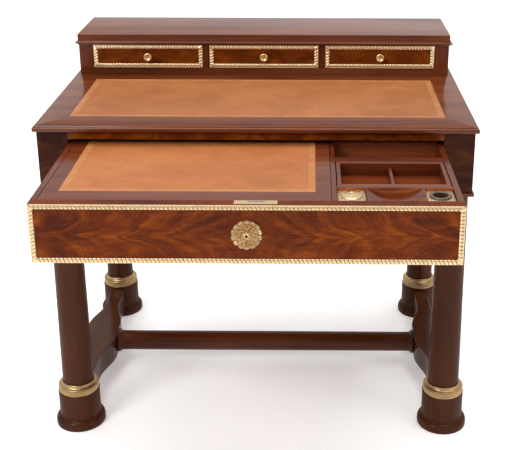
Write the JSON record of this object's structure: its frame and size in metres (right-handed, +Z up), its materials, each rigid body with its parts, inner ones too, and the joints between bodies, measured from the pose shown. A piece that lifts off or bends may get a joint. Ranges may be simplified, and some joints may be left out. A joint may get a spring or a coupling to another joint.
{
  "type": "writing desk",
  "caption": "Mahogany writing desk on turned columns, with a pulled-out fitted drawer, leather panels, gilt leaf mouldings and a bank of small drawers.",
  "frame": {"origin": "bottom centre of the whole desk with the main drawer pulled out 354.7 mm, on the floor plane", "axes": "+X across the desk to the user's right, +Y from the user towards the back, +Z up"},
  "size_m": [1.0356, 1.0824, 0.9141],
  "materials": {
    "mahogany": "gloss",
    "flame_mahogany": "gloss",
    "drawer_wood": "satin",
    "gilt_bronze": "satin",
    "brass": "satin",
    "steel": "satin",
    "leather": "satin",
    "ink_glass": "gloss"
  },
  "bodies": {
    "desk": {"case_bottom": "mahogany", "desk_top": "mahogany", "bank_base": "mahogany", "bank_side_left": "mahogany", "bank_side_right": "mahogany", "bank_divider_left": "mahogany", "bank_divider_right": "mahogany", "bank_top": "mahogany", "side_stretcher_left": "mahogany", "side_stretcher_right": "mahogany", "cross_stretcher": "mahogany", "leg_shaft_front_left": "mahogany", "leg_base_front_left": "mahogany", "leg_shaft_front_right": "mahogany", "leg_base_front_right": "mahogany", "leg_shaft_rear_left": "mahogany", "leg_base_rear_left": "mahogany", "leg_shaft_rear_right": "mahogany", "leg_base_rear_right": "mahogany", "leg_collar_front_left": "gilt_bronze", "leg_collar_front_right": "gilt_bronze", "leg_collar_rear_left": "gilt_bronze", "leg_collar_rear_right": "gilt_bronze", "case_side_left": "flame_mahogany", "case_side_right": "flame_mahogany", "case_back": "drawer_wood", "front_rail": "flame_mahogany", "drawer_guide_left": "drawer_wood", "drawer_guide_right": "drawer_wood", "top_leather": "leather", "bank_back": "drawer_wood"},
    "main_drawer": {"drawer_front": "flame_mahogany", "drawer_side_left": "drawer_wood", "drawer_side_right": "drawer_wood", "drawer_back": "drawer_wood", "drawer_bottom": "drawer_wood", "drawer_divider": "mahogany", "cross_rail": "mahogany", "well_back": "mahogany", "ink_block": "mahogany", "inkwell_left": "brass", "inkwell_right": "brass", "ink_liner": "ink_glass", "lock_case": "brass", "escutcheon_rosette": "gilt_bronze", "drawer_moulding": "gilt_bronze"},
    "writing_panel": {"writing_panel": "mahogany", "panel_leather": "leather"},
    "lock_bolt": {"lock_bolt": "steel"},
    "inkwell_lid": {"inkwell_lid": "brass"},
    "lift_tray": {"lift_tray": "mahogany"},
    "small_drawer_left": {"small_drawer_left": "flame_mahogany", "small_moulding_left": "gilt_bronze", "small_knob_left": "brass"},
    "small_drawer_middle": {"small_drawer_middle": "flame_mahogany", "small_moulding_middle": "gilt_bronze", "small_knob_middle": "brass"},
    "small_drawer_right": {"small_drawer_right": "flame_mahogany", "small_moulding_right": "gilt_bronze", "small_knob_right": "brass"}
  },
  "joints": [
    {"name": "main_drawer_slide", "type": "slide", "parent": "desk", "child": "main_drawer", "axis": [0, -1, 0], "range_m": [-0.3547, 0.0453]},
    {"name": "writing_panel_slide", "type": "slide", "parent": "main_drawer", "child": "writing_panel", "axis": [0, 1, 0], "range_m": [0, 0.13]},
    {"name": "lock_bolt_slide", "type": "slide", "parent": "main_drawer", "child": "lock_bolt", "axis": [0, 0, 1], "range_m": [0, 0.014]},
    {"name": "inkwell_lid_lift", "type": "slide", "parent": "main_drawer", "child": "inkwell_lid", "axis": [0, 0, 1], "range_m": [0, 0.06]},
    {"name": "lift_tray_lift", "type": "slide", "parent": "main_drawer", "child": "lift_tray", "axis": [0, 0, 1], "range_m": [0, 0.12]},
    {"name": "small_drawer_left_slide", "type": "slide", "parent": "desk", "child": "small_drawer_left", "axis": [0, -1, 0], "range_m": [0, 0.15]},
    {"name": "small_drawer_middle_slide", "type": "slide", "parent": "desk", "child": "small_drawer_middle", "axis": [0, -1, 0], "range_m": [0, 0.15]},
    {"name": "small_drawer_right_slide", "type": "slide", "parent": "desk", "child": "small_drawer_right", "axis": [0, -1, 0], "range_m": [0, 0.15]}
  ]
}
